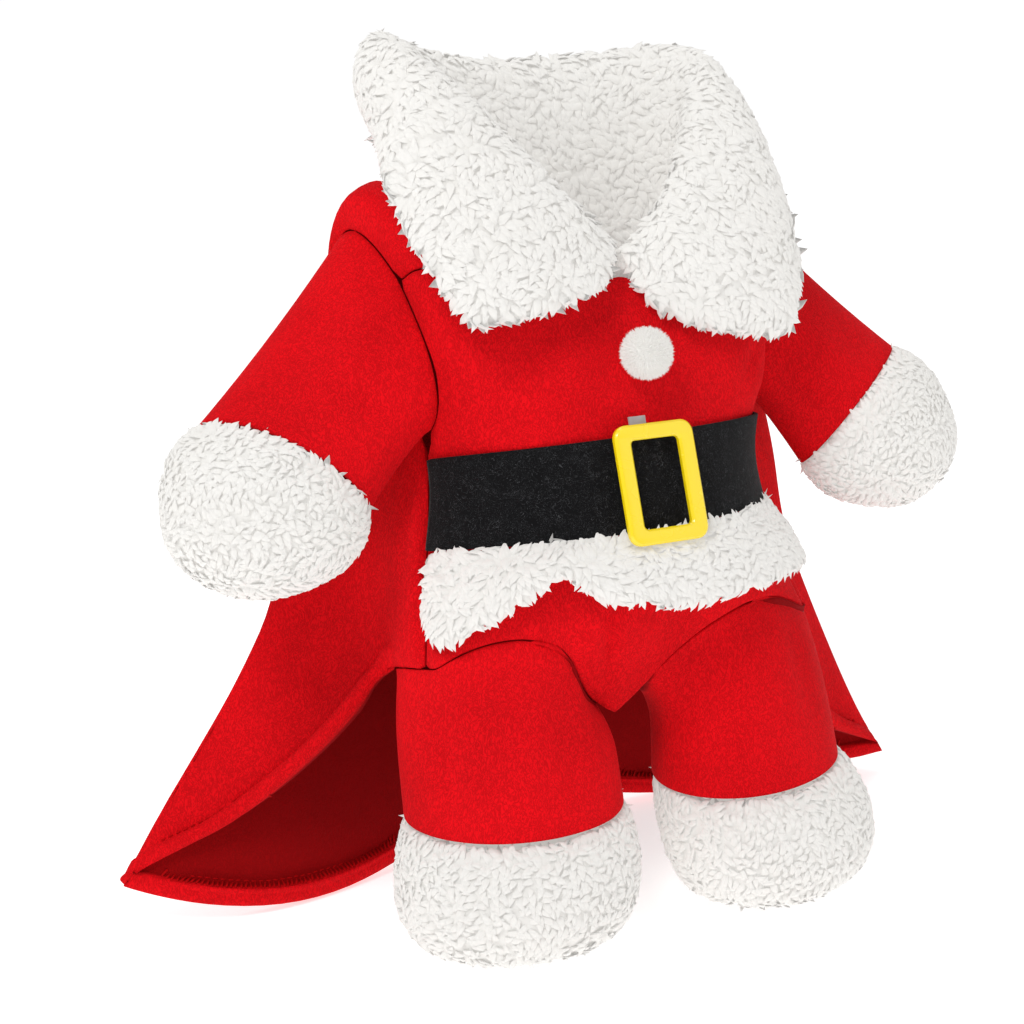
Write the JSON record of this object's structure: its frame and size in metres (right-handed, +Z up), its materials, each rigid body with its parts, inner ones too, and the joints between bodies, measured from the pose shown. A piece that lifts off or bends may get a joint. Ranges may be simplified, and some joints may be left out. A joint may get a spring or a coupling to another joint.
{
  "type": "dog santa suit",
  "caption": "Red velour suit for a small dog with a flared cape back, stand-off arms with mitts, trouser legs, curly white collar and cuffs, black belt, yellow buckle and pompom.",
  "frame": {"origin": "middle of the neck opening, where the wearer's neck passes through", "axes": "+X to the suit's own left, +Y towards its back and the cape, +Z up out of the neck"},
  "size_m": [0.3608, 0.1674, 0.3392],
  "materials": {
    "red_velour": "bright red velour with a short nap",
    "white_fleece": "white curly fleece with small clumped tufts",
    "pompom_fleece": "fluffy white pompom",
    "black_felt": "matt black felt",
    "yellow_plastic": "glossy yellow plastic",
    "clear_tab": "small greyish clear tab"
  },
  "bodies": {
    "root": {"front": "red_velour", "back_cape": "red_velour", "collar": "white_fleece", "sleeve_right": "red_velour", "mitt_right": "white_fleece", "leg_right": "red_velour", "cuff_right": "white_fleece", "sleeve_left": "red_velour", "mitt_left": "white_fleece", "leg_left": "red_velour", "cuff_left": "white_fleece", "trim": "white_fleece", "belt": "black_felt", "buckle": "yellow_plastic", "buckle_tab": "clear_tab", "pompom": "pompom_fleece"}
  },
  "joints": []
}
